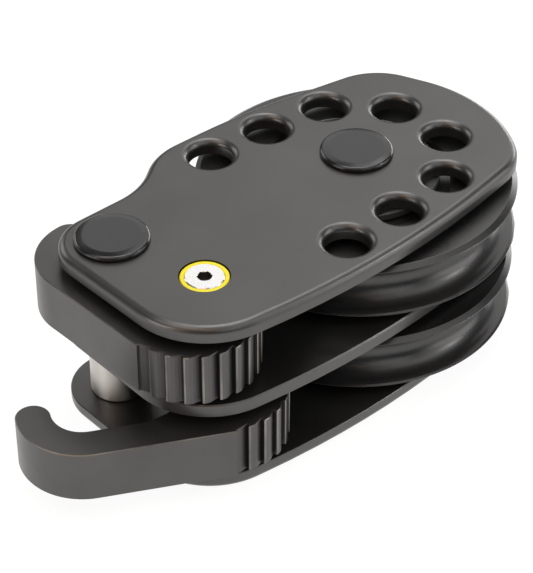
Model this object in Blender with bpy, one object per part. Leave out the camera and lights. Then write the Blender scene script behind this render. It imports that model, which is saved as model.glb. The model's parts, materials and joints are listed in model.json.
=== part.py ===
"""Double foot block with a lock-off lever beside each sheave, modelled in Blender 4.5.

Frame: the underside of the bottom plate is z = 0 and +Z points up, away from the deck.  The axle
and the rear post stand on the X axis, the same distance either side of the origin, and +X points
towards the sheaves.  All driving dimensions below are in millimetres and degrees.
"""
import math

import bmesh
import bpy
from mathutils import Matrix, Vector

MM = 0.001

# ---------------------------------------------------------------- stack of plates
OUTER_PLATE_T = 5.0
MIDDLE_PLATE_T = 4.5
GAP = 22.5
FIT = 0.3                        # clearance kept between neighbouring pieces
EDGE_RADIUS = 2.5                # rounded outer rim of the two cheek plates
MIDDLE_EDGE = 0.4                # broken edge of the middle plate

BOTTOM_TOP = OUTER_PLATE_T
MIDDLE_LOW = BOTTOM_TOP + GAP
MIDDLE_TOP = MIDDLE_LOW + MIDDLE_PLATE_T
TOP_LOW = MIDDLE_TOP + GAP
TOP_TOP = TOP_LOW + OUTER_PLATE_T
GAP_CENTRES = {"lower": BOTTOM_TOP + GAP / 2, "upper": MIDDLE_TOP + GAP / 2}

# ---------------------------------------------------------------- standing posts, in plan
POST_SPACING = 83.5
AXLE = (POST_SPACING / 2, 0.0)
REAR = (-POST_SPACING / 2, 0.0)
PIVOT = (AXLE[0] - 69.4, -28.3)

# Cheek outlines as corners about the axle: x, y, corner radius.  Two edges are long shallow arcs.
TOP_CORNERS = [
    (54.1, 2.9, 45.3),           # sheave end, nearly concentric with the axle
    (31.0, 37.9, 20.6),
    (-18.3, 37.6, 217.0),        # long far edge
    (-52.0, 32.0, 22.7),
    (-64.4, 18.7, 24.4),         # neck between the sheave end and the post end
    (-101.8, 11.8, 14.6),        # post end
    (-88.7, -53.9, 25.2),        # lever corner
    (-18.1, -50.4, 303.0),       # long near edge
    (41.4, -27.8, 19.5),
]
# The middle and bottom plates stop a little shorter at the post end.
LOWER_CORNERS = TOP_CORNERS[:4] + [
    (-64.3, 17.4, 24.4), (-100.9, 13.7, 15.9), (-89.0, -53.9, 25.3), (-21.7, -50.7, 302.0),
    (42.3, -28.9, 20.0),
]
LIGHTENING_HOLES = [
    (-37.9, 22.2), (-16.4, 25.0), (5.3, 26.0), (23.4, 14.0),
    (27.9, -6.7), (15.8, -24.1), (-5.0, -30.6), (-26.3, -35.3),
]
HOLE_R = 6.8
HOLE_EDGE_R = 2.3

# ---------------------------------------------------------------- axle, post, screws, caps
AXLE_R = 12.0
AXLE_SPIGOT_R = 9.7
REAR_POST_R = 7.0
REAR_SPIGOT_R = 6.5
SPACER_R = 8.6
DECK_THREAD_R = 4.6              # M10 tapped from below, for the owner's deck bolts
DECK_THREAD_DEPTH = 18.0
M8_R = 3.7
M8_LENGTH = 17.0
M8_HEAD_R = 8.3
M8_HEAD_SINK = 1.7               # head below the plate face, room for the cap's stem
M8_SOCKET = 5.0                  # hexagon across flats
M8_SOCKET_DEPTH = 3.0
CAP_R = 11.1
CAP_H = 1.9
CAP_EDGE = 0.9
CAP_STEM_R = 8.6
CAP_STEM_H = 1.2

# ---------------------------------------------------------------- lever pivot
PIVOT_POST_R = 5.0
LEVER_BUSH_R = 8.0
M6_R = 2.7
M6_LENGTH = 17.0
M6_HEAD_R = 5.75
M6_HEAD_H = 3.2
M6_SOCKET = 4.0
M6_SOCKET_DEPTH = 2.4
RING_R = 7.1
RING_SINK = 0.6                  # yellow ring's crown below the plate face
PIVOT_SCREW_SINK = 0.15

# ---------------------------------------------------------------- sheaves
SHEAVE_R = 49.0
SHEAVE_W = 19.0
SHEAVE_FACE_R = 46.4
LIP_DROP = 1.9                   # lip below the side face
LIP_FLAT = 0.4
GROOVE_DEPTH = 7.5
RACE_R = 15.0
BUSH_R = 18.2
RING_SEAT_DEPTH = 1.5
SIDE_RING_R = 25.4
SIDE_RING_PROUD = 1.3

# ---------------------------------------------------------------- levers, drawn in the stowed pose
LEVER_T = 16.8
CAM_CENTRE = Vector((-6.7, -4.2))        # from the pivot
CAM_R = 19.7
TOOTH_PITCH = 15.2
FIRST_CREST = -157.8                     # direction of the first crest from the cam's centre
CREST_COUNT = 9
CREST_SHARE = 0.27                       # share of the pitch that is crest, the rest is flute
FLUTE_FLOOR = 1.09                       # share of the pitch at which the flute would be deepest
FLUTE_WALL = 0.96                        # share at which its steep wall cuts it off
FLUTE_DEPTH = 1.4
ARM_HEADING = 101.8                      # from the cam towards the hook
ARM_OFFSET = 20.4                        # outer edge from the cam's centre
ARM_W = 10.2
BOSS_R = 16.5                            # plain boss about the pivot
NOTCH_START = 20.7                       # along the arm, where its inner edge turns to the boss
NOTCH_TURN = 21.7
NOTCH_FILLET = 4.0
HOOK_CENTRES = {"lower": Vector((-15.7, 35.1)), "upper": Vector((-16.0, 33.0))}
HOOK_END = 101.4                         # direction, from the hook's centre, where its tip starts
WASHER_R = 14.0
LOWER_LEVER_OPEN = 60.4                  # the lower lever stands swung out by this much

SEGMENTS = 28                            # round a turned piece
SHEAVE_SEGMENTS = 40
HOLE_SEGMENTS = 20
ARC_STEP = math.radians(8.0)
ARC_SAG = 0.08                           # most that a chord may stand off its arc


# ---------------------------------------------------------------- materials
def material(name, colour, roughness, metallic):
    mat = bpy.data.materials.new(name)
    mat.use_nodes = True
    shader = mat.node_tree.nodes["Principled BSDF"]
    shader.inputs["Base Color"].default_value = (*colour, 1.0)
    shader.inputs["Roughness"].default_value = roughness
    shader.inputs["Metallic"].default_value = metallic
    mat.diffuse_color = (*colour, 1.0)
    return mat


# ---------------------------------------------------------------- plane geometry
def polar(centre, radius, degrees):
    angle = math.radians(degrees)
    return Vector((centre[0] + radius * math.cos(angle), centre[1] + radius * math.sin(angle)))


def arc_steps(radius, turn):
    """Chords for an arc of that turn, in radians."""
    return max(2, math.ceil(abs(turn) / min(ARC_STEP, 2 * math.acos(1 - ARC_SAG / radius))))


def arc(centre, radius, start, end):
    """Points from start to end, in degrees, both ends included."""
    steps = arc_steps(radius, math.radians(end - start))
    return [polar(centre, radius, start + (end - start) * i / steps) for i in range(steps + 1)]


def fillet(before, corner, after, radius):
    """Replace one corner by the arc of that radius that touches both of its edges."""
    to_before = (before - corner).normalized()
    to_after = (after - corner).normalized()
    half = to_before.angle(to_after) / 2
    centre = corner + (to_before + to_after).normalized() * (radius / math.sin(half))
    reach = radius / math.tan(half)
    first = corner + to_before * reach - centre
    turn = first.angle_signed(corner + to_after * reach - centre)
    steps = arc_steps(radius, turn)
    return [centre + Matrix.Rotation(-turn * i / steps, 2) @ first for i in range(steps + 1)]


def rounded_outline(corners):
    points = [Vector((x, y)) for x, y, _ in corners]
    outline = []
    for i, (_, _, radius) in enumerate(corners):
        outline += fillet(points[i - 1], points[i], points[(i + 1) % len(points)], radius)
    return outline


# ---------------------------------------------------------------- solids
def new_object(name, bm, mat, place=(0.0, 0.0, 0.0), smooth_angle=35.0):
    bmesh.ops.remove_doubles(bm, verts=bm.verts, dist=1e-6)
    bmesh.ops.recalc_face_normals(bm, faces=bm.faces)
    mesh = bpy.data.meshes.new(name)
    bm.to_mesh(mesh)
    bm.free()
    mesh.shade_smooth()
    mesh.set_sharp_from_angle(angle=math.radians(smooth_angle))
    obj = bpy.data.objects.new(name, mesh)
    bpy.context.scene.collection.objects.link(obj)
    obj.location = [value * MM for value in place]
    if mat is not None:
        mesh.materials.append(mat)
    return obj


def spin_profile(bm, profile, at=(0.0, 0.0), segments=SEGMENTS):
    """Turn a (radius, height) profile about the vertical line through a plan point.

    The profile is a closed loop, or it starts and ends on the axis itself.
    """
    verts = [bm.verts.new(((at[0] + r) * MM, at[1] * MM, z * MM)) for r, z in profile]
    edges = [bm.edges.new((verts[i - 1], verts[i])) for i in range(len(verts))
             if profile[i - 1][0] > 0 or profile[i][0] > 0]
    bmesh.ops.spin(bm, geom=verts + edges, cent=(at[0] * MM, at[1] * MM, 0), axis=(0, 0, 1),
                   angle=2 * math.pi, steps=segments, use_merge=True, use_duplicate=False)


def turned(name, profile, mat, place, segments=SEGMENTS):
    bm = bmesh.new()
    spin_profile(bm, profile, segments=segments)
    return new_object(name, bm, mat, place)


def extrude_outline(bm, outline, low, high):
    """Upright prism on a plan outline; returns the edges round its lower and upper rims."""
    verts = [bm.verts.new((p.x * MM, p.y * MM, low * MM)) for p in outline]
    face = bm.faces.new(verts)
    raised = bmesh.ops.extrude_face_region(bm, geom=[face])["geom"]
    top_verts = [item for item in raised if isinstance(item, bmesh.types.BMVert)]
    bmesh.ops.translate(bm, verts=top_verts, vec=(0, 0, (high - low) * MM))
    level = {low: [], high: []}
    for edge in bm.edges:
        for height in level:
            if all(abs(v.co.z - height * MM) < 1e-7 for v in edge.verts):
                level[height].append(edge)
    return level[low], level[high]


def cutter(name, bm):
    tool = new_object(name, bm, None)
    tool.hide_render = True
    tool.display_type = "WIRE"
    return tool


def cut(obj, tool):
    tool.location = obj.location
    mod = obj.modifiers.new("cut_" + tool.name, "BOOLEAN")
    mod.operation = "DIFFERENCE"
    mod.object = tool


def hex_prism(bm, across_flats, low, high):
    corner_r = across_flats / math.sqrt(3)
    corners = [polar((0, 0), corner_r, 60 * i) for i in range(6)]
    extrude_outline(bm, corners, low, high)


# ---------------------------------------------------------------- plates
def plain_bore(bm, at, radius, low, high):
    spin_profile(bm, [(0, low), (radius, low), (radius, high), (0, high)], at)


def countersink(bm, at, bore, head, straight, deep, face, out):
    """Bore whose head side opens straight, then as a cone; out is +1 upwards, -1 downwards."""
    far = face - out * (OUTER_PLATE_T + 1)
    spin_profile(bm, [(0, face + out), (head, face + out), (head, face - out * straight),
                      (bore, face - out * deep), (bore, far), (0, far)], at)


def flared_hole(bm, at, radius, edge, face):
    """Lightening hole with a quarter-round rim on the plate's upper face."""
    profile = [(0, face + 1), (radius + edge, face + 1)]
    for i in range(4):
        angle = math.radians(90 * i / 3)
        profile.append((radius + edge * (1 - math.sin(angle)), face - edge * (1 - math.cos(angle))))
    profile += [(radius, face - OUTER_PLATE_T - 1), (0, face - OUTER_PLATE_T - 1)]
    spin_profile(bm, profile, at, HOLE_SEGMENTS)


def bottom_bores(bm):
    plain_bore(bm, AXLE, AXLE_SPIGOT_R + FIT, -1, OUTER_PLATE_T + 1)
    plain_bore(bm, REAR, REAR_SPIGOT_R + FIT, -1, OUTER_PLATE_T + 1)
    countersink(bm, PIVOT, M6_R + 0.5, M6_HEAD_R + FIT, 0.6, 3.8, 0.0, -1)


def middle_bores(bm):
    for at, radius in ((AXLE, AXLE_R), (REAR, REAR_POST_R), (PIVOT, PIVOT_POST_R)):
        plain_bore(bm, at, radius + FIT, MIDDLE_LOW - 1, MIDDLE_TOP + 1)


def top_bores(bm):
    for at in (AXLE, REAR):
        countersink(bm, at, M8_R + 0.4, CAP_STEM_R + 0.4, M8_HEAD_SINK + 0.4, 4.8, TOP_TOP, 1)
    countersink(bm, PIVOT, M6_R + 0.5, RING_R + FIT, RING_SINK + 0.4, 4.55, TOP_TOP, 1)
    for x, y in LIGHTENING_HOLES:
        flared_hole(bm, (x + AXLE[0], y), HOLE_R, HOLE_EDGE_R, TOP_TOP)


def plate(name, corners, low, high, bevels, mat, bore_maker):
    """Cheek-shaped plate; bevels are the widths broken off its lower and upper rims."""
    outline = [p + Vector(AXLE) for p in rounded_outline(corners)]
    bm = bmesh.new()
    rims = extrude_outline(bm, outline, low, high)
    for rim, width in zip(rims, bevels):
        if width:
            steps = 3 if width > 1 else 1
            bmesh.ops.bevel(bm, geom=rim, offset=width * MM, offset_type="OFFSET", segments=steps,
                            profile=0.5, affect="EDGES", clamp_overlap=False)
    body = new_object(name, bm, mat)
    tool = bmesh.new()
    bore_maker(tool)
    cut(body, cutter(name + "_bores", tool))
    return body


# ---------------------------------------------------------------- axle and rear post
def post(name, at, radius, spigot, mat):
    """Round post with a spigot in the bottom plate and a tapped bore in each end."""
    top = TOP_LOW - FIT
    profile = [
        (0, FIT + DECK_THREAD_DEPTH), (DECK_THREAD_R, FIT + DECK_THREAD_DEPTH),
        (DECK_THREAD_R, FIT), (spigot, FIT), (spigot, BOTTOM_TOP + FIT), (radius, BOTTOM_TOP + FIT),
        (radius, top), (M8_R + FIT, top), (M8_R + FIT, top - M8_LENGTH + 2), (0, top - M8_LENGTH + 2),
    ]
    return turned(name, profile, mat, (*at, 0))


def cap_screw(name, at, mat):
    """M8 countersunk screw under a cap, with its hexagon socket."""
    head = TOP_TOP - M8_HEAD_SINK
    tip = TOP_TOP - M8_LENGTH
    profile = [(0, tip), (M8_R, tip), (M8_R, TOP_TOP - 4.9), (M8_HEAD_R, head - 0.3),
               (M8_HEAD_R, head), (0, head)]
    screw = turned(name, profile, mat, (*at, 0))
    tool = bmesh.new()
    hex_prism(tool, M8_SOCKET, head - M8_SOCKET_DEPTH, head + 1)
    cut(screw, cutter(name + "_socket", tool))
    return screw


def cap(name, at, mat):
    base = TOP_TOP + FIT
    top = TOP_TOP + CAP_H
    profile = [(0, base - CAP_STEM_H), (CAP_STEM_R, base - CAP_STEM_H), (CAP_STEM_R, base),
               (CAP_R, base)]
    for i in range(4):
        angle = math.radians(90 * i / 3)
        profile.append((CAP_R - CAP_EDGE + CAP_EDGE * math.cos(angle),
                        top - CAP_EDGE + CAP_EDGE * math.sin(angle)))
    profile.append((0, top))
    return turned(name, profile, mat, (*at, 0))


def sleeve(name, at, inner, outer, low, high, mat):
    """Plain ring: a bush, a spacer or a washer."""
    return turned(name, [(inner, low), (outer, low), (outer, high), (inner, high)], mat, (*at, 0))


# ---------------------------------------------------------------- lever pivot
def pivot_post(mat):
    low = BOTTOM_TOP + FIT
    high = TOP_LOW - FIT
    bore = M6_R + FIT
    profile = [(0, low + M6_LENGTH), (bore, low + M6_LENGTH), (bore, low), (PIVOT_POST_R, low),
               (PIVOT_POST_R, high), (bore, high), (bore, high - M6_LENGTH), (0, high - M6_LENGTH)]
    return turned("pivot_post", profile, mat, (*PIVOT, 0))


def m6_screw(name, face, out, mat):
    """Countersunk M6 whose flat head looks up (out = +1) or down (out = -1)."""
    profile = [(0, face), (M6_HEAD_R, face), (M6_HEAD_R, face - out * 0.35),
               (M6_R, face - out * M6_HEAD_H), (M6_R, face - out * M6_LENGTH),
               (0, face - out * M6_LENGTH)]
    screw = turned(name, profile, mat, (*PIVOT, 0))
    tool = bmesh.new()
    ends = sorted((face + out, face - out * M6_SOCKET_DEPTH))
    hex_prism(tool, M6_SOCKET, *ends)
    cut(screw, cutter(name + "_socket", tool))
    return screw


def pivot_ring(mat):
    """Cup washer that keeps the steel screw off the anodised plate."""
    crown = TOP_TOP - RING_SINK
    profile = [(RING_R, crown - 0.15), (RING_R - 0.15, crown), (6.05, crown), (5.95, crown - 0.1),
               (3.35, crown - 2.65), (4.0, crown - 2.9), (RING_R, crown - 0.35)]
    return turned("pivot_ring", profile, mat, (*PIVOT, 0))


# ---------------------------------------------------------------- sheaves
def sheave(name, centre, mat):
    half = SHEAVE_W / 2
    seat = half - RING_SEAT_DEPTH
    bore = BUSH_R + FIT
    seat_r = SIDE_RING_R + FIT
    upper = [(bore, seat), (seat_r, seat), (seat_r, half)]
    for i in range(4):
        angle = math.radians(90 * (1 - i / 3))
        upper.append((SHEAVE_FACE_R + (SHEAVE_R - SHEAVE_FACE_R) * math.cos(angle),
                      half - LIP_DROP + LIP_DROP * math.sin(angle)))
    lip = half - LIP_DROP - LIP_FLAT
    upper.append((SHEAVE_R, lip))
    steps = 7
    groove = []
    for i in range(1, steps):
        angle = math.pi * i / steps
        groove.append((SHEAVE_R - 0.4 - GROOVE_DEPTH * math.sin(angle), (lip - 0.2) * math.cos(angle)))
    lower = [(r, -z) for r, z in reversed(upper)]
    return turned(name, upper + groove + lower, mat, (*AXLE, centre), SHEAVE_SEGMENTS)


# ---------------------------------------------------------------- levers
def lever_outline(hook):
    """Stowed lever about its pivot: hook, arm, fluted cam, plain boss, and the arm's inner edge."""
    side = ARM_HEADING + 90
    normal = polar((0, 0), 1, side)
    outer_r = ARM_OFFSET - (hook - CAM_CENTRE).dot(normal)
    points = arc(hook, outer_r, HOOK_END, side)
    points += cam_edge(side)

    inner_edge = ARM_OFFSET - ARM_W + CAM_CENTRE.dot(normal)
    corner = polar(polar((0, 0), inner_edge, side), NOTCH_START, ARM_HEADING)
    slant = side + NOTCH_TURN
    from_pivot = corner.dot(polar((0, 0), 1, slant)) - NOTCH_FILLET
    meet = slant - math.degrees(math.acos(from_pivot / (BOSS_R + NOTCH_FILLET)))
    points += arc((0, 0), BOSS_R, boss_start(), meet)
    points += arc(polar((0, 0), BOSS_R + NOTCH_FILLET, meet), NOTCH_FILLET, meet - 180, slant - 360)[1:]
    points += fillet(points[-1], corner, polar(corner, 1, ARM_HEADING), NOTCH_FILLET)

    points += arc(hook, outer_r - ARM_W, side, HOOK_END)
    tip_r = ARM_W / 2
    points += arc(polar(hook, outer_r - tip_r, HOOK_END), tip_r, HOOK_END - 180, HOOK_END)[1:-1]
    return points


def boss_start():
    """Direction, from the pivot, of the point where the cam's circle runs into the boss."""
    apart = CAM_CENTRE.length
    cosine = (BOSS_R ** 2 + apart ** 2 - CAM_R ** 2) / (2 * BOSS_R * apart)
    heading = math.degrees(math.atan2(CAM_CENTRE.y, CAM_CENTRE.x))
    return heading + math.degrees(math.acos(cosine))


def flute(crest):
    """Flute that rolls off gently before the crest that starts in that direction, then steps up to it."""
    points = []
    for share in (0.4, 0.52, 0.64, 0.76, 0.87, FLUTE_WALL):
        fall = min(1.0, (share - CREST_SHARE) / (FLUTE_FLOOR - CREST_SHARE))
        depth = FLUTE_DEPTH * fall * fall * (3 - 2 * fall)
        points.append(polar(CAM_CENTRE, CAM_R - depth, crest + (share - 1) * TOOTH_PITCH))
    return points


def cam_edge(side):
    """Crests with a flute before each, from the arm's outer edge to the last crest."""
    points = [polar(CAM_CENTRE, ARM_OFFSET, side)]
    for tooth in range(CREST_COUNT):
        crest = FIRST_CREST + TOOTH_PITCH * tooth
        points += flute(crest)
        points += arc(CAM_CENTRE, CAM_R, crest, crest + TOOTH_PITCH * CREST_SHARE)
    return points


def lever(name, hook, centre, swung, mat):
    bm = bmesh.new()
    extrude_outline(bm, lever_outline(hook), -LEVER_T / 2, LEVER_T / 2)
    body = new_object(name, bm, mat, (*PIVOT, centre), smooth_angle=25.0)
    body.rotation_euler.z = math.radians(swung)
    tool = bmesh.new()
    plain_bore(tool, (0, 0), LEVER_BUSH_R + FIT, -LEVER_T, LEVER_T)
    cut(body, cutter(name + "_bore", tool))
    return body


# ---------------------------------------------------------------- assembly
def clear_scene():
    for obj in list(bpy.data.objects):
        bpy.data.objects.remove(obj, do_unlink=True)


def build():
    clear_scene()
    anodised = material("hard_anodised_aluminium", (0.085, 0.082, 0.078), 0.42, 0.55)
    sheave_dark = material("black_anodised_aluminium", (0.035, 0.035, 0.035), 0.3, 0.7)
    lever_dark = material("anodised_lever", (0.065, 0.062, 0.058), 0.45, 0.5)
    steel = material("stainless_steel", (0.62, 0.6, 0.57), 0.25, 1.0)
    black = material("black_plastic", (0.015, 0.015, 0.015), 0.3, 0.0)
    yellow = material("yellow_plastic", (0.9, 0.78, 0.02), 0.4, 0.0)
    liner = material("grey_bearing_plastic", (0.12, 0.12, 0.12), 0.5, 0.0)

    plate("bottom_plate", LOWER_CORNERS, 0, BOTTOM_TOP, (EDGE_RADIUS, 0), anodised, bottom_bores)
    plate("middle_plate", LOWER_CORNERS, MIDDLE_LOW, MIDDLE_TOP, (MIDDLE_EDGE, MIDDLE_EDGE), anodised,
          middle_bores)
    plate("top_plate", TOP_CORNERS, TOP_LOW, TOP_TOP, (0, EDGE_RADIUS), anodised, top_bores)

    post("axle", AXLE, AXLE_R, AXLE_SPIGOT_R, steel)
    post("rear_post", REAR, REAR_POST_R, REAR_SPIGOT_R, steel)
    for place, at in (("axle", AXLE), ("rear", REAR)):
        cap_screw(place + "_screw", at, steel)
        cap(place + "_cap", at, black)

    pivot_post(steel)
    m6_screw("pivot_screw", TOP_TOP - PIVOT_SCREW_SINK, 1, steel)
    m6_screw("base_screw", FIT, -1, steel)
    pivot_ring(yellow)

    swings = {"lower": LOWER_LEVER_OPEN, "upper": 0.0}
    for level, centre in GAP_CENTRES.items():
        low = centre - GAP / 2 + FIT
        high = centre + GAP / 2 - FIT
        sleeve("rear_spacer_" + level, REAR, REAR_POST_R + FIT, SPACER_R, low, high, steel)
        sleeve("race_" + level, AXLE, AXLE_R + FIT, RACE_R, low, high, steel)
        sleeve("lever_bush_" + level, PIVOT, PIVOT_POST_R + FIT, LEVER_BUSH_R, low, high, steel)

        sheave("sheave_" + level, centre, sheave_dark)
        bush_half = SHEAVE_W / 2 - RING_SEAT_DEPTH - FIT
        sleeve("sheave_bush_" + level, AXLE, RACE_R + FIT, BUSH_R, centre - bush_half,
               centre + bush_half, liner)
        ring_in = SHEAVE_W / 2 - RING_SEAT_DEPTH + FIT
        ring_out = SHEAVE_W / 2 + SIDE_RING_PROUD
        sleeve("side_ring_%s_bottom" % level, AXLE, RACE_R + FIT, SIDE_RING_R, centre - ring_out,
               centre - ring_in, liner)
        sleeve("side_ring_%s_top" % level, AXLE, RACE_R + FIT, SIDE_RING_R, centre + ring_in,
               centre + ring_out, liner)

        lever("lever_" + level, HOOK_CENTRES[level], centre, swings[level], lever_dark)
        face = LEVER_T / 2 + FIT
        sleeve("lever_washer_%s_bottom" % level, PIVOT, LEVER_BUSH_R + FIT, WASHER_R, low,
               centre - face, black)
        sleeve("lever_washer_%s_top" % level, PIVOT, LEVER_BUSH_R + FIT, WASHER_R, centre + face,
               high, black)


build()
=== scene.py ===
"""Looks of the double foot block: fine meshes, finishes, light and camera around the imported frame.

Lengths are in millimetres and angles in degrees unless a name says otherwise.  Plan sizes are in
the frame's own axes: +X towards the sheaves, +Z up from the deck.
"""
import json
import math

import bmesh
import bpy
from mathutils import Matrix, Vector


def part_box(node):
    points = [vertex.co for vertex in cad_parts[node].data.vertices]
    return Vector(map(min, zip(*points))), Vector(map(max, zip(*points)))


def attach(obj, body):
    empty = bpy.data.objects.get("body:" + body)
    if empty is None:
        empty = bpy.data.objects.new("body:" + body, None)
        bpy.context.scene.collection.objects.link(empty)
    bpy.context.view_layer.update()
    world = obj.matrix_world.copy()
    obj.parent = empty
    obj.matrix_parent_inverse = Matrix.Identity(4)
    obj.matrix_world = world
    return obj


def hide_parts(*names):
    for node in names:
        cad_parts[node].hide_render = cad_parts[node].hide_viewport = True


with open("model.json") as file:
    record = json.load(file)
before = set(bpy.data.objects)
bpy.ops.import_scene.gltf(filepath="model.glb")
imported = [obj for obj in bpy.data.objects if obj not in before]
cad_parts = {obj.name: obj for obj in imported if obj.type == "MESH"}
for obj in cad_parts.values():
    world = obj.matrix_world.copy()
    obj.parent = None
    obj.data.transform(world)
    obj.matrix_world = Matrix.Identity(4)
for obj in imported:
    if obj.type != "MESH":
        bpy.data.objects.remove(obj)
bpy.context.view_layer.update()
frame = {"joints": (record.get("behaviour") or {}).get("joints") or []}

MM = 0.001

# ---------------------------------------------------------------- places, read from the frame
JOINT_AT = {joint["name"]: Vector(joint["pos_m"]) / MM for joint in frame["joints"]}
AXLE = JOINT_AT["sheave_lower_spin"].xy
PIVOT = JOINT_AT["lever_lower_swing"].xy
LEVELS = ("lower", "upper")
GAP_CENTRE = {level: JOINT_AT["sheave_%s_spin" % level].z for level in LEVELS}
DECK_BODY = "frame"


def extent(node_name):
    """Lowest and highest corner of a node, in millimetres."""
    low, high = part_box(node_name)
    return low / MM, high / MM


def middle(node_name):
    low, high = extent(node_name)
    return ((low + high) / 2).xy


def heights(node_name):
    low, high = extent(node_name)
    return low.z, high.z


def half_sizes(node_name):
    """Half the width and half the height of a node."""
    low, high = extent(node_name)
    return (high.x - low.x) / 2, (high.z - low.z) / 2


REAR = middle("rear_post")

# ---------------------------------------------------------------- sizes of the plates
# Cheek outlines as corners about the axle: x, y, corner radius.
TOP_CORNERS = [
    (54.1, 2.9, 45.3), (31.0, 37.9, 20.6), (-18.3, 37.6, 217.0), (-52.0, 32.0, 22.7),
    (-64.4, 18.7, 24.4), (-101.8, 11.8, 14.6), (-88.7, -53.9, 25.2), (-18.1, -50.4, 303.0),
    (41.4, -27.8, 19.5),
]
LOWER_CORNERS = TOP_CORNERS[:4] + [
    (-64.3, 17.4, 24.4), (-100.9, 13.7, 15.9), (-89.0, -53.9, 25.3), (-21.7, -50.7, 302.0),
    (42.3, -28.9, 20.0),
]
# Centres of the lightening holes about the axle.
LIGHTENING_HOLES = [
    (-37.9, 22.2), (-16.4, 25.0), (5.3, 26.0), (23.4, 14.0),
    (27.9, -6.7), (15.8, -24.1), (-5.0, -30.6), (-26.3, -35.3),
]
HOLE_R = 6.8
HOLE_FLARE = 2.3
HOLE_EDGE_DEPTH = 4.75         # where the break of the hole's lower edge starts
HOLE_BREAK = 0.3
RIM_R = 2.5
BROKEN_EDGE = 0.25
MIDDLE_EDGE = 0.4
PAST = 1.0                     # how far a cutter reaches past a face
THROUGH = 7.0                  # depth of a cutter that goes through a plate
QUARTER_STEPS = 9

# ---------------------------------------------------------------- sizes of posts, screws and rings
FIT = 0.3
SPIGOT_R = {"axle": 9.7, "rear_post": 6.5}
POST_R = {"axle": 12.0, "rear_post": 7.0}
PIVOT_POST_R = 5.0
RACE_R = 15.0
LEVER_BUSH_R = 8.0
POST_EDGE = 0.5
PIVOT_POST_EDGE = 0.4

# Tapped bores: radius inside the threads, depth, pitch.
DECK_THREAD = (4.6, 18.0, 1.5)
CAP_SCREW_THREAD = (4.0, 15.0, 1.25)
PIVOT_THREAD = (3.0, 17.0, 1.0)
THREAD_MOUTH = 0.6
THREAD_START = 0.8
THREAD_RUNOUT = 1.5
THREAD_CUT = 0.55
V_DEEPEST = 0.45               # share of a pitch at which a thread's V is deepest
V_END = 0.9                    # share at which it is back at the crest
DRILL_POINT = 0.5              # height of a drilled point, as a share of its radius

# Countersunk screws: head radius, shank radius, width across the socket, its depth, pitch.
PIVOT_SCREW = (5.75, 2.7, 4.0, 2.4, 1.0)
CAP_SCREW = (8.3, 3.7, 5.0, 3.0, 1.25)
HEAD_H = 3.2
HEAD_EDGE = 0.25
HEAD_RIM = 0.45                # depth of the straight rim above the cone
SCREW_START = 0.6
SCREW_RUNOUT = 1.6
SCREW_CUT = 0.45
SCREW_TIP = 0.6
SOCKET_TURN = 35.5
SOCKET_FLARE = 0.85
SOCKET_FLARE_FLOOR = 0.3
SOCKET_FLARE_DEPTH = 0.15

# Countersinks in the plates as (radius, depth below the face).
SCREW_SEAT = [(6.05, 0.6), (3.2, 3.8)]
CAP_SEAT = [(9.0, 2.1), (4.1, 4.8)]
RING_SEAT = [(7.4, 1.0), (3.2, 4.55)]

CAP_PLUG_R = 8.6
CAP_GAP = 0.3
CAP_EDGE = 0.2
CAP_SHOULDER_DROP = 0.35       # a cap's crown slopes by this much to its shoulder
CAP_SHOULDER_W = 2.6
CAP_SHOULDER_R = 1.05
CAP_CROWN_R = 4.0
RING_R = 7.1
RING_WALL_H = 0.35
RING_MOUTH_R = 6.0
RING_CONE_H = 2.65             # the cone under the screw's head slopes at 45 degrees
RING_FOOT_R = 4.0
RING_FOOT_DEPTH = 2.9
RING_LIFT = 0.25               # the fine ring's crown stands this much over the CAD's

# ---------------------------------------------------------------- sizes of the sheaves
SHEAVE_BORE_R = 18.5
RECESS_R = (28.6, 29.4)        # foot and top of the step from the ring's seat to the side face
SIDE_FACE_R = 47.2
SEAT_SINK = 1.5
FACE_SINK = 0.5
LIP_SINK = 1.75
LIP_RISE = 0.2                 # the flange's slope ends this far over the lip
LIP_SLOPE_W = 0.15
LIP_W = 0.6
LIP_FALL = 0.35
GROOVE_START_W = 0.85
GROOVE_START_FALL = 0.65
GROOVE_DEPTH = 7.3
GROOVE_FLOOR_R = 40.0
GROOVE_STEPS = 32

# ---------------------------------------------------------------- sizes of the levers, about the pivot
CAM_CENTRE = Vector((-6.7, -4.2))
CAM_R = 19.7
TOOTH_PITCH = 15.2
FIRST_CREST = -157.8
CREST_COUNT = 9
CREST_SHARE = 0.27             # share of a pitch that the crest takes
CREST_START = 0.6              # angle from a crest's direction to its first point
CREST_STEP = 1.5
FLUTE_WALL = 0.96              # share of a pitch where the steep wall starts
FLUTE_FLOOR = 1.09             # share where the roll-off would reach its full depth
FLUTE_DEPTH = 1.4
FLUTE_POINTS = 14
CREST_BREAK = 0.25
WALL_LEAN = 0.12               # angle that the steep wall's top falls short of the crest
ARM_HEADING = 101.8
ARM_OFFSET = 20.4
ARM_W = 10.2
BOSS_R = 16.5
NOTCH_START = 20.7
NOTCH_TURN = 21.7
NOTCH_FILLET = 4.0
HOOK_CENTRES = {"lower": Vector((-15.7, 35.1)), "upper": Vector((-16.0, 33.0))}
HOOK_END = 101.4
LEVER_SWUNG = {"lower": 60.4, "upper": 0.0}
LEVER_CHAMFER = 0.25
LEVER_TRIM = 0.04              # keeps the finer arcs inside the CAD's facets
BORE_FLARE = 1.4
BORE_EDGE = 0.4

# Material slots of a lever's mesh; the flutes' painted shades follow the edge, whose pale paint is partly
# wear and partly a painted highlight.
LEVER_PAINT = 0
# pale edge paint: worn anodising, and a painted highlight on the chamfers and steep flute walls
WORN_EDGE_HIGHLIGHT_PAINT = 1
FLUTE_SHADE_PAINT = 2
FLUTE_SHADE_GREYS = (0.098, 0.078, 0.058, 0.040)     # painted shade: a flute darkens towards its steep wall
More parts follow.
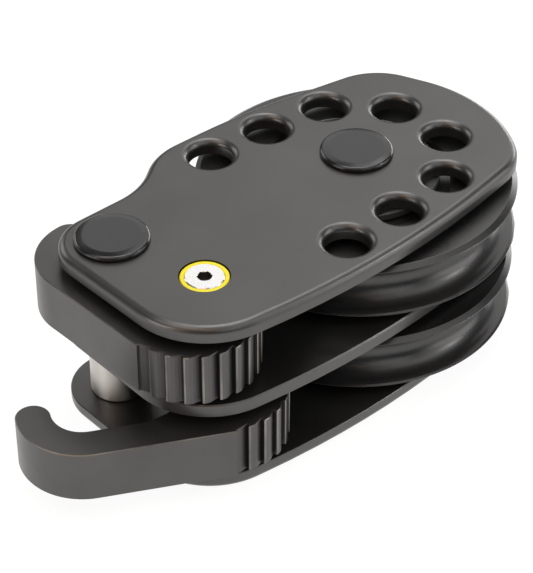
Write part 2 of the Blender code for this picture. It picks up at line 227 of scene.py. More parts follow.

# ---------------------------------------------------------------- fineness of the meshes
MITRE_LIMIT = 0.35             # keeps the inset of a sharp corner short
ARC_STEP = 4.0
PLATE_ARC_STEP = 2.0
PROFILE_STEP = 15.0
SHEAVE_PROFILE_STEP = 9.0
ROUND = 96                     # segments round a turned piece
HOLE_ROUND = 72
SHEAVE_ROUND = 180
SHARP = 32.0                   # edges over this angle stay sharp
SHEAVE_SHARP = 28.0
LEVER_SHARP = 24.0


# ---------------------------------------------------------------- plane geometry
def polar(centre, radius, degrees):
    angle = math.radians(degrees)
    return Vector((centre[0] + radius * math.cos(angle), centre[1] + radius * math.sin(angle)))


def arc(centre, radius, start, end, step=ARC_STEP):
    steps = max(2, math.ceil(abs(end - start) / step))
    return [polar(centre, radius, start + (end - start) * i / steps) for i in range(steps + 1)]


def quarter_angles():
    """Angles from 0 to a right angle, in radians."""
    return [math.radians(90 / QUARTER_STEPS * i) for i in range(QUARTER_STEPS + 1)]


def fillet(before, corner, after, radius, step):
    """Arc of that radius that touches both edges of a corner."""
    to_before = (before - corner).normalized()
    to_after = (after - corner).normalized()
    half = to_before.angle(to_after) / 2
    centre = corner + (to_before + to_after).normalized() * (radius / math.sin(half))
    first = corner + to_before * (radius / math.tan(half)) - centre
    turn = first.angle_signed(corner + to_after * (radius / math.tan(half)) - centre)
    steps = max(2, math.ceil(abs(math.degrees(turn)) / step))
    return [centre + Matrix.Rotation(-turn * i / steps, 2) @ first for i in range(steps + 1)]


def rounded(corners, step):
    """Closed outline of corners (x, y, radius); radius 0 keeps a corner sharp."""
    points = [Vector(corner[:2]) for corner in corners]
    outline = []
    for i, corner in enumerate(corners):
        if corner[2] == 0:
            outline.append(points[i])
        else:
            outline += fillet(points[i - 1], points[i], points[(i + 1) % len(points)], corner[2], step)
    return outline


def inset(points, depth):
    """The outline moved inwards by that depth, corner by corner."""
    moved = []
    for i, point in enumerate(points):
        ahead = (points[(i + 1) % len(points)] - point).normalized()
        behind = (point - points[i - 1]).normalized()
        normals = Vector((ahead.y, -ahead.x)), Vector((behind.y, -behind.x))
        mitre = (normals[0] + normals[1]) / max(MITRE_LIMIT, 1 + normals[0].dot(normals[1]))
        moved.append(point - mitre * depth)
    return moved


# ---------------------------------------------------------------- meshes
def spun(bm, profile, at=(0.0, 0.0), segments=ROUND):
    """Turn a loop of (radius, height) about the vertical through a plan point."""
    rings = []
    for radius, height in profile:
        count = segments if radius > 1e-6 else 1
        rings.append([
            bm.verts.new((*polar(at, radius, 360 * k / segments), height)) for k in range(count)
        ])
    for ring, other in zip(rings, rings[1:] + rings[:1]):
        if len(ring) == len(other) == 1:
            continue
        for k in range(segments):
            n = (k + 1) % segments
            corners = [ring[k % len(ring)], ring[n % len(ring)],
                       other[n % len(other)], other[k % len(other)]]
            bm.faces.new(list(dict.fromkeys(corners)))


def slab(bm, outline, levels, painted=None, ends=0):
    """Closed prism through (inset, height, paint) levels; painted maps a side's number to its paint."""
    rings = [[bm.verts.new((*p, height)) for p in inset(outline, depth)] for depth, height, _ in levels]
    count = len(outline)
    own_paint = painted or {}
    for (low, high), level in zip(zip(rings, rings[1:]), levels):
        for k in range(count):
            n = (k + 1) % count
            face = bm.faces.new((low[k], low[n], high[n], high[k]))
            face.material_index = own_paint.get(k, level[2])
    for ring in (rings[0][::-1], rings[-1]):
        bm.faces.new(ring).material_index = ends


def make_object(name, bm, materials, at=(0.0, 0.0, 0.0)):
    """Object from a mesh drawn in millimetres, standing at a point in millimetres."""
    bmesh.ops.recalc_face_normals(bm, faces=bm.faces)
    bmesh.ops.scale(bm, vec=(MM, MM, MM), verts=bm.verts)
    mesh = bpy.data.meshes.new(name)
    bm.to_mesh(mesh)
    bm.free()
    for material in materials:
        mesh.materials.append(material)
    obj = bpy.data.objects.new(name, mesh)
    bpy.context.scene.collection.objects.link(obj)
    obj.location = Vector(at) * MM
    return obj


def turned(node_name, profile, materials, base=0.0, segments=ROUND):
    """Fine turned piece of a node, from a loop of (radius, height) over a base height."""
    bm = bmesh.new()
    spun(bm, [tuple(p) for p in profile], segments=segments)
    return make_object(node_name + "_fine", bm, materials, (*middle(node_name), base))


def cut_away(obj, tool_bm):
    """Cut a tool mesh, drawn in the object's own millimetres, out of the object."""
    tool = make_object(obj.name + "_tool", tool_bm, [], obj.location / MM)
    mod = obj.modifiers.new("cut", "BOOLEAN")
    mod.operation = "DIFFERENCE"
    mod.object = tool
    bpy.context.view_layer.update()
    graph = bpy.context.evaluated_depsgraph_get()
    mesh = bpy.data.meshes.new_from_object(obj.evaluated_get(graph))
    obj.modifiers.clear()
    obj.data = mesh
    bpy.data.objects.remove(tool, do_unlink=True)


def smooth(obj, sharp):
    """Smooth shading that keeps flat faces flat and edges over an angle sharp."""
    obj.data.shade_smooth()
    obj.data.set_sharp_from_angle(angle=math.radians(sharp))
    mod = obj.modifiers.new("weighted", "WEIGHTED_NORMAL")
    mod.keep_sharp = True


def place(obj, node_name, body, sharp=SHARP):
    """The fine piece takes over from its CAD node and moves with the body."""
    smooth(obj, sharp)
    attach(obj, body)
    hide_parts(node_name)


# ---------------------------------------------------------------- shader building blocks
WAVE_SCALE = 0.314             # scale at which a wave texture's rings lie one unit apart


def principled(mat):
    return mat.node_tree.nodes["Principled BSDF"]


def new_material(name, colour, roughness, metallic, **sockets):
    """Plain material to build on; sockets are the shader's other inputs, with _ for a space."""
    mat = bpy.data.materials.new(name)
    mat.use_nodes = True
    mat.diffuse_color = (*colour, 1.0)
    shader = principled(mat)
    shader.inputs["Base Color"].default_value = (*colour, 1.0)
    shader.inputs["Roughness"].default_value = roughness
    shader.inputs["Metallic"].default_value = metallic
    for socket, value in sockets.items():
        shader.inputs[socket.replace("_", " ")].default_value = value
    return mat


def node(mat, kind, **inputs):
    made = mat.node_tree.nodes.new(kind)
    for socket, value in inputs.items():
        made.inputs[socket.replace("_", " ")].default_value = value
    return made


def link(mat, source, target):
    mat.node_tree.links.new(source, target)


def noise(mat, scale, detail=2.0, stretch=(1.0, 1.0, 1.0)):
    """Noise in the piece's own metres, stretched along an axis by a scale under 1."""
    where = node(mat, "ShaderNodeTexCoord")
    mapping = node(mat, "ShaderNodeMapping", Scale=stretch)
    made = node(mat, "ShaderNodeTexNoise", Scale=scale, Detail=detail, Roughness=0.55)
    link(mat, where.outputs["Object"], mapping.inputs["Vector"])
    link(mat, mapping.outputs["Vector"], made.inputs["Vector"])
    return made.outputs["Fac"]


def turned_rings(mat, pitch_mm):
    """Tool marks left by a lathe: fine rings about the piece's own axis."""
    where = node(mat, "ShaderNodeTexCoord")
    rings = node(mat, "ShaderNodeTexWave", Scale=WAVE_SCALE / (pitch_mm * MM))
    rings.wave_type = "RINGS"
    rings.rings_direction = "Z"
    link(mat, where.outputs["Object"], rings.inputs["Vector"])
    return rings.outputs["Fac"]


def vary_colour(mat, factor, dark, light):
    """Base colour between a dark and a light shade; most noise lies between the two stops."""
    ramp = node(mat, "ShaderNodeValToRGB")
    for element, position, colour in zip(ramp.color_ramp.elements, (0.32, 0.68), (dark, light)):
        element.position = position
        element.color = (*colour, 1.0)
    link(mat, factor, ramp.inputs["Fac"])
    link(mat, ramp.outputs["Color"], principled(mat).inputs["Base Color"])


def vary_roughness(mat, factor, low, high):
    spread = node(mat, "ShaderNodeMapRange", From_Min=0.3, From_Max=0.7, To_Min=low, To_Max=high)
    link(mat, factor, spread.inputs["Value"])
    link(mat, spread.outputs["Result"], principled(mat).inputs["Roughness"])


def add_bump(mat, height, distance_mm):
    """Bump that adds to one already there."""
    shader = principled(mat)
    bump = node(mat, "ShaderNodeBump", Strength=1.0, Distance=distance_mm * MM)
    link(mat, height, bump.inputs["Height"])
    if shader.inputs["Normal"].links:
        link(mat, shader.inputs["Normal"].links[0].from_socket, bump.inputs["Normal"])
    link(mat, bump.outputs["Normal"], shader.inputs["Normal"])


def shades(colour, amount):
    """A darker and a lighter shade of a colour."""
    return [tuple(c * (1 - amount) for c in colour), tuple(c * (1 + amount) for c in colour)]


# ---------------------------------------------------------------- finishes
def anodised(name, colour, rough, grain_mm, depth_mm, cloud=0.1):
    """Hard anodised aluminium: blasted grain, and a faint cloudiness in colour and gloss."""
    mat = new_material(name, colour, rough, 0.9)
    vary_colour(mat, noise(mat, 45.0, 4.0), *shades(colour, cloud))
    vary_roughness(mat, noise(mat, 120.0, 4.0), rough - 0.03, rough + 0.03)
    add_bump(mat, noise(mat, 1.0 / (grain_mm * MM)), depth_mm)
    return mat


def sheave_finish():
    """Anodised after turning, so the lathe's rings still show."""
    mat = anodised("sheave_anodised", (0.084, 0.082, 0.081), 0.29, 0.8, 0.0003, 0.03)
    add_bump(mat, turned_rings(mat, 0.9), 0.0004)
    return mat


def lever_finish():
    """Anodised after milling: long faint marks up the walls."""
    mat = anodised("lever_anodised", (0.108, 0.105, 0.101), 0.36, 0.7, 0.006, 0.07)
    add_bump(mat, noise(mat, 1100.0, 2.0, (1.0, 1.0, 0.06)), 0.008)
    return mat


# Painted shade: one darker grey of the lever's anodising, for one step down a flute.
def flute_shade_finish(number, grey):
    colour = (grey, grey * 0.97, grey * 0.95)
    return anodised("lever_flute_%d" % number, colour, 0.42, 0.7, 0.007)


def stainless():
    """Turned stainless: brushed round the piece, so its highlight is long."""
    mat = new_material("stainless", (0.62, 0.585, 0.55), 0.36, 1.0,
                       Anisotropic=0.85, Anisotropic_Rotation=0.25)
    vary_roughness(mat, noise(mat, 500.0, 3.0, (1.0, 1.0, 6.0)), 0.32, 0.40)
    add_bump(mat, noise(mat, 900.0, 2.0, (0.1, 0.1, 3.0)), 0.001)
    return mat


def screw_head():
    mat = new_material("screw_head_steel", (0.86, 0.85, 0.83), 0.20, 1.0)
    vary_roughness(mat, noise(mat, 700.0, 3.0), 0.15, 0.28)
    add_bump(mat, turned_rings(mat, 0.45), 0.003)
    return mat


# Painted shade: steel darkened inside the hex socket.
def socket_painted_shade():
    mat = new_material("socket_steel_painted_shade", (0.16, 0.15, 0.14), 0.4, 1.0)
    vary_roughness(mat, noise(mat, 700.0, 3.0), 0.35, 0.48)
    add_bump(mat, noise(mat, 1500.0), 0.01)
    return mat


def cap_plastic():
    """Black moulded plastic with a light polish."""
    black = (0.012, 0.012, 0.012)
    mat = new_material("cap_plastic", black, 0.20, 0.0,
                       IOR=1.48, Coat_Weight=0.15, Coat_Roughness=0.06)
    vary_colour(mat, noise(mat, 60.0, 3.0), *shades(black, 0.15))
    vary_roughness(mat, noise(mat, 200.0, 3.0), 0.17, 0.23)
    add_bump(mat, noise(mat, 2600.0), 0.003)
    return mat


def washer_plastic():
    mat = new_material("washer_plastic", (0.012, 0.012, 0.012), 0.45, 0.0)
    vary_roughness(mat, noise(mat, 300.0, 3.0), 0.4, 0.52)
    add_bump(mat, noise(mat, 1500.0), 0.004)
    return mat


def ring_plastic():
    """Bright yellow moulded plastic."""
    mat = new_material("ring_plastic", (0.92, 0.79, 0.006), 0.33, 0.0, IOR=1.48)
    vary_colour(mat, noise(mat, 150.0, 3.0), (0.88, 0.74, 0.004), (0.95, 0.83, 0.01))
    vary_roughness(mat, noise(mat, 400.0, 3.0), 0.28, 0.38)
    add_bump(mat, noise(mat, 2200.0), 0.003)
    return mat


def bearing_plastic():
    """Turned grey-black bearing plastic."""
    grey = (0.055, 0.055, 0.055)
    mat = new_material("bearing_plastic", grey, 0.38, 0.0)
    vary_colour(mat, noise(mat, 80.0, 3.0), *shades(grey, 0.15))
    vary_roughness(mat, noise(mat, 300.0, 3.0), 0.33, 0.44)
    add_bump(mat, turned_rings(mat, 0.5), 0.004)
    return mat


def make_finishes():
    return {
        "cheek": anodised("cheek_anodised", (0.108, 0.106, 0.103), 0.34, 0.45, 0.0015, 0.05),
        "cheek_bore": anodised("cheek_bore_anodised", (0.10, 0.092, 0.085), 0.34, 0.6, 0.004),
        "sheave": sheave_finish(),
        "lever": lever_finish(),
        # pale edge paint: partly worn anodising, partly a painted highlight
        "lever_edge_wear_and_highlight": anodised("lever_worn_edge_and_highlight", (0.21, 0.195, 0.175), 0.38, 0.5, 0.008, 0.45),
        "flutes": [flute_shade_finish(i, grey) for i, grey in enumerate(FLUTE_SHADE_GREYS)],
        "steel": stainless(),
        "head": screw_head(),
        "socket": socket_painted_shade(),
        "cap": cap_plastic(),
        "washer": washer_plastic(),
        "yellow": ring_plastic(),
        "liner": bearing_plastic(),
    }


# ---------------------------------------------------------------- plates
def quarter(height, up):
    """Levels of the rim's quarter round, ending at a height; up is +1 on an upper rim, -1 on a lower."""
    return [(RIM_R * (1 - math.cos(angle)), height - up * RIM_R * (1 - math.sin(angle)), 0)
            for angle in quarter_angles()]


def broken(height, up, size=BROKEN_EDGE):
    """Levels of a small chamfer that ends at a height."""
    return [(0, height - up * size, 0), (size, height, 0)]


def plain_bore(bm, at, radius, low, high):
    """Bore through a plate that lies between two heights."""
    spun(bm, [(0, low - PAST), (radius, low - PAST), (radius, high + PAST), (0, high + PAST)], at)


def countersink(bm, at, face, out, steps):
    """Bore through a plate as (radius, depth below the face) steps; out is the way the face looks."""
    profile = [(0, face + out * PAST), (steps[0][0], face + out * PAST)]
    profile += [(radius, face - out * depth) for radius, depth in steps]
    profile += [(steps[-1][0], face - out * THROUGH), (0, face - out * THROUGH)]
    spun(bm, profile, at)


def flared_hole(bm, at, face):
    profile = [(0, face + PAST), (HOLE_R + HOLE_FLARE, face + PAST)]
    profile += [(HOLE_R + HOLE_FLARE * (1 - math.sin(angle)), face - HOLE_FLARE * (1 - math.cos(angle)))
                for angle in quarter_angles()]
    profile += [(HOLE_R, face - HOLE_EDGE_DEPTH),
                (HOLE_R + HOLE_BREAK, face - HOLE_EDGE_DEPTH - HOLE_BREAK),
                (HOLE_R + HOLE_BREAK, face - THROUGH), (0, face - THROUGH)]
    spun(bm, profile, at, segments=HOLE_ROUND)


def cheek(node_name, corners, levels, tool, finish):
    """Plate of an outline about the axle, with its bores cut by one tool."""
    bm = bmesh.new()
    slab(bm, [p + AXLE for p in rounded(corners, PLATE_ARC_STEP)], levels)
    obj = make_object(node_name + "_fine", bm, [finish["cheek"], finish["cheek_bore"]])
    cut_away(obj, tool)
    place(obj, node_name, DECK_BODY)


def make_plates(finish):
    low, high = heights("bottom_plate")
    tool = bmesh.new()
    plain_bore(tool, AXLE, SPIGOT_R["axle"] + FIT, low, high)
    plain_bore(tool, REAR, SPIGOT_R["rear_post"] + FIT, low, high)
    countersink(tool, PIVOT, low, -1, SCREW_SEAT)
    cheek("bottom_plate", LOWER_CORNERS, quarter(low, -1)[::-1] + broken(high, 1), tool, finish)

    low, high = heights("middle_plate")
    tool = bmesh.new()
    plain_bore(tool, AXLE, POST_R["axle"] + FIT, low, high)
    plain_bore(tool, REAR, POST_R["rear_post"] + FIT, low, high)
    plain_bore(tool, PIVOT, PIVOT_POST_R + FIT, low, high)
    edges = broken(low, -1, MIDDLE_EDGE)[::-1] + broken(high, 1, MIDDLE_EDGE)
    cheek("middle_plate", LOWER_CORNERS, edges, tool, finish)

    low, high = heights("top_plate")
    tool = bmesh.new()
    countersink(tool, AXLE, high, 1, CAP_SEAT)
    countersink(tool, REAR, high, 1, CAP_SEAT)
    countersink(tool, PIVOT, high, 1, RING_SEAT)
    for hole in LIGHTENING_HOLES:
        flared_hole(tool, AXLE + Vector(hole), high)
    cheek("top_plate", TOP_CORNERS, broken(low, -1)[::-1] + quarter(high, 1), tool, finish)


# ---------------------------------------------------------------- posts and sleeves
def sleeve(node_name, inner, edge, material, body, slot):
    """Bush, spacer or washer, with its outer size and place from its CAD node."""
    low, high = heights(node_name)
    outer, half = half_sizes(node_name)
    corners = [(inner, -half, edge), (outer, -half, edge), (outer, half, edge), (inner, half, edge)]
    obj = turned(node_name, rounded(corners, PROFILE_STEP), [material], (low + high) / 2)
    place(obj, node_name, body)


def make_sleeves(finish):
    for level in LEVELS:
        steel = (finish["steel"], DECK_BODY, "stainless")
        liner = (finish["liner"], "sheave_" + level, "bearing_plastic")
        washer = (finish["washer"], DECK_BODY, "washer_plastic")
        sleeve("rear_spacer_" + level, POST_R["rear_post"] + FIT, 0.35, *steel)
        sleeve("race_" + level, POST_R["axle"] + FIT, 0.5, *steel)
        sleeve("lever_bush_" + level, PIVOT_POST_R + FIT, 0.4, *steel)
        sleeve("sheave_bush_" + level, RACE_R + FIT, 0.4, *liner)
        for side in ("bottom", "top"):
            sleeve("side_ring_%s_%s" % (level, side), RACE_R + FIT, 0.5, *liner)
            sleeve("lever_washer_%s_%s" % (level, side), LEVER_BUSH_R + FIT, 0.5, *washer)


def threaded(thread, mouth, inwards):
    """Wall of a tapped bore from its mouth to its drilled point; inwards is +1 if that way is up."""
    radius, depth, pitch = thread
    points = [(radius + THREAD_MOUTH, mouth), (radius, mouth + inwards * THREAD_MOUTH)]
    for i in range(int((depth - THREAD_RUNOUT) / pitch)):
        start = mouth + inwards * (THREAD_START + pitch * i)
        points += [(radius, start), (radius + THREAD_CUT, start + inwards * pitch * V_DEEPEST),
                   (radius, start + inwards * pitch * V_END)]
    point_depth = depth + radius * DRILL_POINT
    return points + [(radius, mouth + inwards * depth), (0, mouth + inwards * point_depth)]


def make_posts(finish):
    """Axle and rear post, tapped M10 from below and M8 from above, and the M6 lever pivot."""
    for name in ("axle", "rear_post"):
        low, high = heights(name)
        spigot = SPIGOT_R[name]
        main = POST_R[name]
        shoulder = heights("bottom_plate")[1] + FIT
        profile = threaded(DECK_THREAD, low, 1)[::-1]
        profile += [(spigot - POST_EDGE, low), (spigot, low + POST_EDGE), (spigot, shoulder)]
        profile += [(main - POST_EDGE, shoulder), (main, shoulder + POST_EDGE)]
        profile += [(main, high - POST_EDGE), (main - POST_EDGE, high)]
        profile += threaded(CAP_SCREW_THREAD, high, -1)
        place(turned(name, profile, [finish["steel"]]), name, DECK_BODY)

    low, high = heights("pivot_post")
    edge = PIVOT_POST_EDGE
    profile = threaded(PIVOT_THREAD, low, 1)[::-1]
    profile += [(PIVOT_POST_R - edge, low), (PIVOT_POST_R, low + edge)]
    profile += [(PIVOT_POST_R, high - edge), (PIVOT_POST_R - edge, high)]
    profile += threaded(PIVOT_THREAD, high, -1)
    place(turned("pivot_post", profile, [finish["steel"]]), "pivot_post", DECK_BODY)


# ---------------------------------------------------------------- screws
def hexagon(bm, across_flats, face, out, depth):
    """Tool of a hexagon socket in a face; out is the way the face looks."""
    corners = [polar((0, 0), across_flats / math.sqrt(3), 60 * i + SOCKET_TURN) for i in range(6)]
    low, high = sorted((face - out * depth, face + out * PAST))
    # the socket's walls and floor take slot 1, the socket's painted shade
    slab(bm, corners, [(0, low, 1), (0, high, 1)], ends=1)


def screw(node_name, face, out, sizes, finish):
    """Countersunk socket screw; out is the way its head looks."""
    head_r, shank_r, socket, socket_depth, pitch = sizes
    low, high = heights(node_name)
    tip = low if out > 0 else high
    profile = [(0, face), (head_r - HEAD_EDGE, face), (head_r, face - out * HEAD_EDGE),
               (head_r, face - out * HEAD_RIM), (shank_r, face - out * HEAD_H)]
    for i in range(int((abs(face - tip) - HEAD_H - SCREW_RUNOUT) / pitch)):
        start = face - out * (HEAD_H + SCREW_START + pitch * i)
        profile += [(shank_r, start), (shank_r - SCREW_CUT, start - out * pitch * V_DEEPEST),
                    (shank_r, start - out * pitch * V_END)]
    profile += [(shank_r, tip + out * SCREW_TIP), (shank_r - SCREW_TIP, tip), (0, tip)]
    # slot 1 holds the socket's darkened steel, a painted shade
    obj = turned(node_name, profile, [finish["head"], finish["socket"]])

    tool = bmesh.new()
    hexagon(tool, socket, face, out, socket_depth)
    cut_away(obj, tool)
    flare = bmesh.new()
    rim = socket / math.sqrt(3)
    floor = face - out * SOCKET_FLARE_DEPTH
    spun(flare, [(0, face + out * PAST), (rim + SOCKET_FLARE, face + out * PAST),
                 (rim - SOCKET_FLARE_FLOOR, floor), (0, floor)])
    cut_away(obj, flare)
    place(obj, node_name, DECK_BODY)


def make_screws(finish):
    screw("pivot_screw", heights("pivot_screw")[1], 1, PIVOT_SCREW, finish)
    screw("base_screw", heights("base_screw")[0], -1, PIVOT_SCREW, finish)
    for name in ("axle_screw", "rear_screw"):
        screw(name, heights(name)[1], 1, CAP_SCREW, finish)


# ---------------------------------------------------------------- caps and pivot ring
def make_caps(finish):
    base = heights("top_plate")[1] + CAP_GAP
    for name in ("axle_cap", "rear_cap"):
        low, high = heights(name)
        radius = half_sizes(name)[0]
        corners = [(0, low, 0), (CAP_PLUG_R, low, CAP_EDGE), (CAP_PLUG_R, base, 0),
                   (radius, base, CAP_EDGE), (radius, high - CAP_SHOULDER_DROP, CAP_SHOULDER_R),
                   (radius - CAP_SHOULDER_W, high, CAP_CROWN_R), (0, high, 0)]
        obj = turned(name, rounded(corners, PROFILE_STEP), [finish["cap"]])
        place(obj, name, DECK_BODY)


def make_ring(finish):
    """Cup washer round the pivot screw: a flat crown and a cone under the screw's head."""
    crown = heights("pivot_ring")[1] + RING_LIFT
    corners = [(RING_R, crown - RING_WALL_H, 0), (RING_R, crown, 0.25), (RING_MOUTH_R, crown, 0.12),
               (RING_MOUTH_R - RING_CONE_H, crown - RING_CONE_H, 0),
               (RING_FOOT_R, crown - RING_FOOT_DEPTH, 0)]
    obj = turned("pivot_ring", rounded(corners, PROFILE_STEP), [finish["yellow"]])
    place(obj, "pivot_ring", DECK_BODY)


# ---------------------------------------------------------------- sheaves
def sheave_profile(radius, half):
    """Section of a sheave: ring seat, side recess, rounded flange and round rope groove."""
    seat = half - SEAT_SINK
    face = half - FACE_SINK
    lip = half - LIP_SINK
    mid_plane = [(GROOVE_FLOOR_R, 0, 0), (SHEAVE_BORE_R, 0, 0)]      # only closes the corners' loop
    upper = rounded([
        (SHEAVE_BORE_R, seat, 0), (RECESS_R[0], seat, 0.5), (RECESS_R[1], face, 0.4),
        (SIDE_FACE_R, face, 0.35), (radius - LIP_SLOPE_W, lip + LIP_RISE, 0.5), (radius, lip, 0.12),
        (radius - LIP_W, lip - LIP_FALL, 0.3), *mid_plane], SHEAVE_PROFILE_STEP)[:-len(mid_plane)]
    groove = []
    for i in range(1, GROOVE_STEPS):
        angle = math.pi * i / GROOVE_STEPS
        groove.append(Vector((radius - GROOVE_START_W - GROOVE_DEPTH * math.sin(angle),
                              (lip - GROOVE_START_FALL) * math.cos(angle))))
    lower = [Vector((p.x, -p.y)) for p in reversed(upper)]
    return upper + groove + lower


def make_sheaves(finish):
    for level in LEVELS:
        name = "sheave_" + level
        profile = sheave_profile(*half_sizes(name))
        obj = turned(name, profile, [finish["sheave"]], GAP_CENTRE[level], SHEAVE_ROUND)
        place(obj, name, name, SHEAVE_SHARP)


# ---------------------------------------------------------------- levers
def flute(crest):
    """Flute that rolls off before the crest starting in that direction, then steps up to it."""
    points = []
    for i in range(1, FLUTE_POINTS):
        share = CREST_SHARE + (FLUTE_WALL - CREST_SHARE) * i / (FLUTE_POINTS - 1)
        fall = (share - CREST_SHARE) / (FLUTE_FLOOR - CREST_SHARE)
        depth = FLUTE_DEPTH * fall * fall * (3 - 2 * fall)
        points.append(polar(CAM_CENTRE, CAM_R - depth, crest + (share - 1) * TOOTH_PITCH))
    points.append(polar(CAM_CENTRE, CAM_R - CREST_BREAK, crest - WALL_LEAN))
    return points


def lever_cam(start):
    """Teeth of the cam, and the paint of their sides by number, counted on from a start: painted shade down
    the flutes, and the pale paint of wear and painted highlight at each steep wall.
    """
    points = []
    painted = {}
    for tooth in range(CREST_COUNT):
        crest = FIRST_CREST + TOOTH_PITCH * tooth
        first = start + len(points)
        points += flute(crest)
        last = start + len(points) - 1
        # painted shade down each flute, darker step by step towards its steep wall
        for k in range(first, last):
            painted[k] = FLUTE_SHADE_PAINT + (k - first) * len(FLUTE_SHADE_GREYS) // (last - first)
        # the steep wall's top and the crest's first side take the pale edge paint: wear and a painted
        # highlight
        painted.update({last: WORN_EDGE_HIGHLIGHT_PAINT, last + 1: WORN_EDGE_HIGHLIGHT_PAINT})
        points += arc(CAM_CENTRE, CAM_R, crest + CREST_START, crest + TOOTH_PITCH * CREST_SHARE, CREST_STEP)
    return points, painted


def lever_notch(side, inner_edge):
    """Boss round the pivot and the notch between it and the arm, whose inner edge lies that far out."""
    apart = CAM_CENTRE.length
    cosine = (BOSS_R ** 2 + apart ** 2 - CAM_R ** 2) / (2 * BOSS_R * apart)
    boss_start = math.degrees(math.atan2(CAM_CENTRE.y, CAM_CENTRE.x) + math.acos(cosine))
    corner = polar(polar((0, 0), inner_edge, side), NOTCH_START, ARM_HEADING)
    slant = side + NOTCH_TURN
    from_pivot = corner.dot(polar((0, 0), 1, slant)) - NOTCH_FILLET
    meet = slant - math.degrees(math.acos(from_pivot / (BOSS_R + NOTCH_FILLET)))
    points = arc((0, 0), BOSS_R, boss_start, meet)
    points += arc(polar((0, 0), BOSS_R + NOTCH_FILLET, meet), NOTCH_FILLET, meet - 180, slant - 360)[1:]
    return points, corner


def lever_outline(hook):
    """Stowed lever about its pivot, with the paint of the sides in and beside its flutes: painted shade in
    the flutes and on the boss and notch walls.
    """
    side = ARM_HEADING + 90
    normal = polar((0, 0), 1, side)
    outer_r = ARM_OFFSET - (hook - CAM_CENTRE).dot(normal)
    points = arc(hook, outer_r, HOOK_END, side)
    points.append(polar(CAM_CENTRE, ARM_OFFSET, side))
    cam, painted = lever_cam(len(points))
    points += cam

    notch, corner = lever_notch(side, ARM_OFFSET - ARM_W + CAM_CENTRE.dot(normal))
    # painted shade: the boss and notch walls take the darkest flute grey
    notch_shade_paint = FLUTE_SHADE_PAINT + len(FLUTE_SHADE_GREYS) - 1
    painted.update({len(points) + k: notch_shade_paint for k in range(len(notch))})
    points += notch
    points += fillet(points[-1], corner, polar(corner, 1, ARM_HEADING), NOTCH_FILLET, ARC_STEP)

    points += arc(hook, outer_r - ARM_W, side, HOOK_END)
    tip_r = ARM_W / 2
    points += arc(polar(hook, outer_r - tip_r, HOOK_END), tip_r, HOOK_END - 180, HOOK_END)[1:-1]
    return points, painted


def make_levers(finish):
    materials = [finish["lever"], finish["lever_edge_wear_and_highlight"], *finish["flutes"]]
    bore = LEVER_BUSH_R + FIT
    for level in LEVELS:
        name = "lever_" + level
        outline, painted = lever_outline(HOOK_CENTRES[level])
        turn = Matrix.Rotation(math.radians(LEVER_SWUNG[level]), 2)
        half = half_sizes(name)[1]
        bm = bmesh.new()
        chamfered = LEVER_TRIM + LEVER_CHAMFER
        # the chamfers take the pale edge paint: worn anodising and a painted highlight
        levels = [(chamfered, -half, WORN_EDGE_HIGHLIGHT_PAINT), (LEVER_TRIM, LEVER_CHAMFER - half, LEVER_PAINT),
                  (LEVER_TRIM, half - LEVER_CHAMFER, WORN_EDGE_HIGHLIGHT_PAINT), (chamfered, half, LEVER_PAINT)]
        slab(bm, [turn @ p for p in outline], levels, painted)
        obj = make_object(name + "_fine", bm, materials, (*PIVOT, GAP_CENTRE[level]))
        tool = bmesh.new()
        spun(tool, [(0, -half - PAST), (bore + BORE_FLARE, -half - PAST), (bore, BORE_EDGE - half),
                    (bore, half - BORE_EDGE), (bore + BORE_FLARE, half + PAST), (0, half + PAST)])
        cut_away(obj, tool)
        place(obj, name, name, LEVER_SHARP)


# ---------------------------------------------------------------- studio
VIEW_HEADING = Vector((0.5223, 0.8527))      # the way the camera looks, in plan
VIEW_ELEVATION = 38.25
LOOK_AT = Vector((-15.46, -41.57, 59.5))
CAMERA_DISTANCE = 618.5
LENS = 139.8
SENSOR_W = 36.0

WHITE = (1.0, 1.0, 1.0)
WARM = (1.0, 0.66, 0.45)
SOFT_BOX_DISTANCE = 1.2                      # metres
# Soft boxes: name, azimuth, elevation, width and height in metres, power in watts, colour.
SOFT_BOXES = [
    ("back", 166.0, 36.0, (1.15, 0.62), 2.35, WHITE),
    ("back_spot", 155.0, 51.0, (0.30, 0.30), 0.5, WHITE),
    ("back_high", 150.0, 64.0, (0.70, 0.50), 1.8, WHITE),
    ("overhead", 180.0, 80.0, (0.60, 0.60), 4.0, WHITE),
    ("left_high", -60.0, 62.0, (0.60, 0.60), 2.0, WHITE),
    ("left_back", -130.0, 26.0, (0.70, 0.50), 2.6, WHITE),
    ("right_high", 60.0, 62.0, (0.70, 0.60), 1.2, WHITE),
    ("right", 80.0, 38.0, (0.80, 0.60), 1.1, WHITE),
    ("right_spot", 86.0, 34.0, (0.12, 0.12), 0.9, WHITE),
    ("front_right", 33.0, 36.0, (0.60, 0.50), 1.0, WHITE),
    ("low_right", 85.0, 15.0, (1.00, 0.40), 2.6, WHITE),
    ("low_back_right", 145.0, 9.0, (0.80, 0.30), 4.2, WHITE),
    ("low_left", -58.0, 15.0, (0.60, 0.40), 2.2, WHITE),
    ("front_left", -42.0, 27.0, (0.20, 0.20), 1.0, WARM),
    ("warm_front", -14.0, 57.0, (0.60, 0.50), 1.3, WARM),
]
HORIZON_GREY = 0.10
ZENITH_GREY = 0.06

FLOOR_HALF = 3000.0
FLOOR_DROP = 0.2                             # keeps the floor clear of the deck face
FLOOR_GREY = 0.15
FLOOR_GREY_SPREAD = 0.002
FLOOR_GLOW = 0.92


def towards(azimuth, elevation):
    """Unit vector to a light; azimuth 0 is the camera's side, and it grows to the camera's right."""
    side = Matrix.Rotation(math.radians(azimuth), 2) @ -VIEW_HEADING
    rise = math.radians(elevation)
    return Vector((side.x * math.cos(rise), side.y * math.cos(rise), math.sin(rise)))


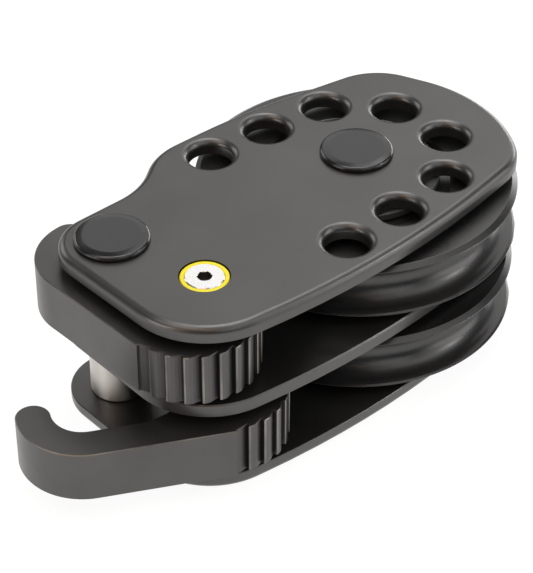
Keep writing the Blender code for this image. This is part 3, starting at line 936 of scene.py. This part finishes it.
def stand(name, data, place_m, out):
    """Camera or light at a place in metres, looking back along out."""
    obj = bpy.data.objects.new(name, data)
    bpy.context.scene.collection.objects.link(obj)
    obj.location = place_m
    obj.rotation_mode = "QUATERNION"
    obj.rotation_quaternion = (-out).to_track_quat("-Z", "Y")
    return obj


def make_camera():
    data = bpy.data.cameras.new("camera")
    data.lens = LENS
    data.sensor_width = SENSOR_W
    data.clip_start = 0.01
    data.clip_end = 50.0
    out = towards(0.0, VIEW_ELEVATION)
    bpy.context.scene.camera = stand("camera", data, (LOOK_AT + out * CAMERA_DISTANCE) * MM, out)


def make_lights():
    for name, azimuth, elevation, size, power, colour in SOFT_BOXES:
        data = bpy.data.lights.new(name, "AREA")
        data.shape = "RECTANGLE"
        data.size, data.size_y = size
        data.energy = power
        data.color = colour
        out = towards(azimuth, elevation)
        stand(name, data, out * SOFT_BOX_DISTANCE, out)


def make_world():
    """Dim grey studio that darkens a little overhead."""
    world = bpy.data.worlds.new("studio")
    bpy.context.scene.world = world
    world.use_nodes = True
    nodes = world.node_tree.nodes
    links = world.node_tree.links
    where = nodes.new("ShaderNodeTexCoord")
    split = nodes.new("ShaderNodeSeparateXYZ")
    ramp = nodes.new("ShaderNodeValToRGB")
    for element, position, grey in zip(ramp.color_ramp.elements, (0.0, 1.0), (HORIZON_GREY, ZENITH_GREY)):
        element.position = position
        element.color = (grey, grey, grey, 1.0)
    links.new(where.outputs["Generated"], split.inputs["Vector"])
    links.new(split.outputs["Z"], ramp.inputs["Fac"])
    links.new(ramp.outputs["Color"], nodes["Background"].inputs["Color"])
    nodes["Background"].inputs["Strength"].default_value = 1.0


def make_floor():
    """Pale matt floor that glows a little, so that it stays near white between soft shadows."""
    bm = bmesh.new()
    corners = ((-1, -1), (1, -1), (1, 1), (-1, 1))
    bm.faces.new([bm.verts.new((x * FLOOR_HALF, y * FLOOR_HALF, -FLOOR_DROP)) for x, y in corners])
    mat = new_material("pale_floor", (FLOOR_GREY,) * 3, 0.85, 0.0, Specular_IOR_Level=0.0,
                       Emission_Color=(1.0, 1.0, 1.0, 1.0), Emission_Strength=FLOOR_GLOW)
    vary_colour(mat, noise(mat, 12.0), (FLOOR_GREY - FLOOR_GREY_SPREAD,) * 3,
                (FLOOR_GREY + FLOOR_GREY_SPREAD,) * 3)
    make_object("floor", bm, [mat])


def main():
    make_camera()
    bpy.context.scene.view_settings.view_transform = "Standard"
    make_world()
    make_lights()
    make_floor()
    finish = make_finishes()
    make_plates(finish)
    make_sleeves(finish)
    make_posts(finish)
    make_screws(finish)
    make_caps(finish)
    make_ring(finish)
    make_sheaves(finish)
    make_levers(finish)


main()
